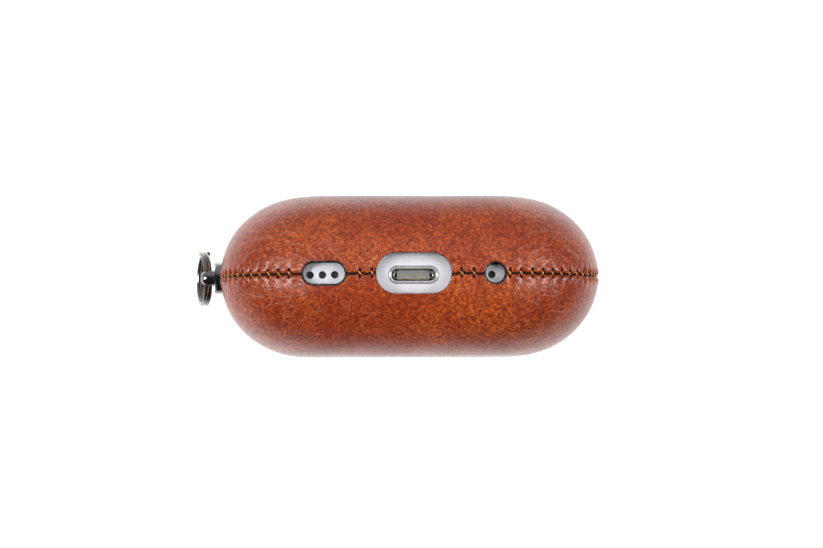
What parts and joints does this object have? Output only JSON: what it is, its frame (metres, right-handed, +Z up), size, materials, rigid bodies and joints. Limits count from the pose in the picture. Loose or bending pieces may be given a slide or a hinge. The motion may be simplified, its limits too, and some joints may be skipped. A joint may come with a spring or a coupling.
{
  "type": "wireless earbud charging case in a leather cover",
  "caption": "Pocket earbud charging case with a hinged lid, sewn into a two-part leather cover with a stud and a swivelling split ring on one side.",
  "frame": {"origin": "on the plane the case stands on, under the middle of the charging port and on the cover's seam", "axes": "+Z up through the lid, +X towards the stud and ring, -Y towards the front with the status light"},
  "size_m": [0.0706, 0.0278, 0.0504],
  "materials": {
    "leather": "smooth pull-up leather",
    "cover_liner": "dark moulded lining",
    "thread": "waxed thread",
    "white_plastic": "white, glossy outside",
    "port_steel": "satin",
    "socket_plastic": "grey",
    "gold": "gold-plated",
    "board": "solder mask",
    "battery_wrap": "foil",
    "copper": "enamelled copper wire",
    "ferrite": "dark sheet",
    "magnet_steel": "nickel-plated",
    "mesh": "woven mesh",
    "module_black": "moulded",
    "clear_plastic": "diffusing",
    "dark_chrome": "polished gunmetal",
    "ring_steel": "polished nickel",
    "hinge_steel": "satin"
  },
  "bodies": {
    "case_body": {"body_cover_front": "leather", "body_cover_back": "leather", "body_cover_liner": "cover_liner", "body_stitches": "thread", "body_shell": "white_plastic", "inner_tray": "white_plastic", "button_switch": "module_black", "hinge_body_leaf": "hinge_steel", "hinge_pin": "hinge_steel", "port_trim": "port_steel", "port_socket": "socket_plastic", "port_contacts": "gold", "port_board": "board", "main_board": "board", "speaker": "module_black", "microphone": "module_black", "speaker_mesh": "mesh", "microphone_mesh": "mesh", "battery": "battery_wrap", "charging_coil": "copper", "coil_shield": "ferrite", "status_light": "clear_plastic", "well_pins": "gold", "body_magnets": "magnet_steel", "earbud_magnets": "magnet_steel", "stud_base": "dark_chrome", "stud_nut": "hinge_steel", "lanyard_anchor": "hinge_steel"},
    "lid": {"lid_cover_front": "leather", "lid_cover_back": "leather", "lid_cover_liner": "cover_liner", "lid_stitches": "thread", "lid_shell": "white_plastic", "inner_lid": "white_plastic", "lid_magnets": "magnet_steel", "hinge_lid_leaf": "hinge_steel"},
    "button": {"setup_button": "white_plastic"},
    "swivel": {"swivel_post": "dark_chrome"},
    "ring": {"split_ring": "ring_steel"}
  },
  "joints": [
    {"name": "lid_hinge", "type": "hinge", "parent": "case_body", "child": "lid", "pos_m": [0, 0.0103, 0.03385], "axis": [-1, 0, 0], "range_deg": [0, 95]},
    {"name": "button_press", "type": "slide", "parent": "case_body", "child": "button", "axis": [0, -1, 0], "range_m": [0, 0.0003], "stiffness_N_per_m": 1500},
    {"name": "stud_swivel", "type": "hinge", "parent": "case_body", "child": "swivel", "pos_m": [0.03535, 0, 0.025], "axis": [1, 0, 0], "continuous": true},
    {"name": "ring_swing", "type": "hinge", "parent": "swivel", "child": "ring", "pos_m": [0.03535, 0, 0.025], "axis": [0, 1, 0], "range_deg": [0, 156]}
  ]
}
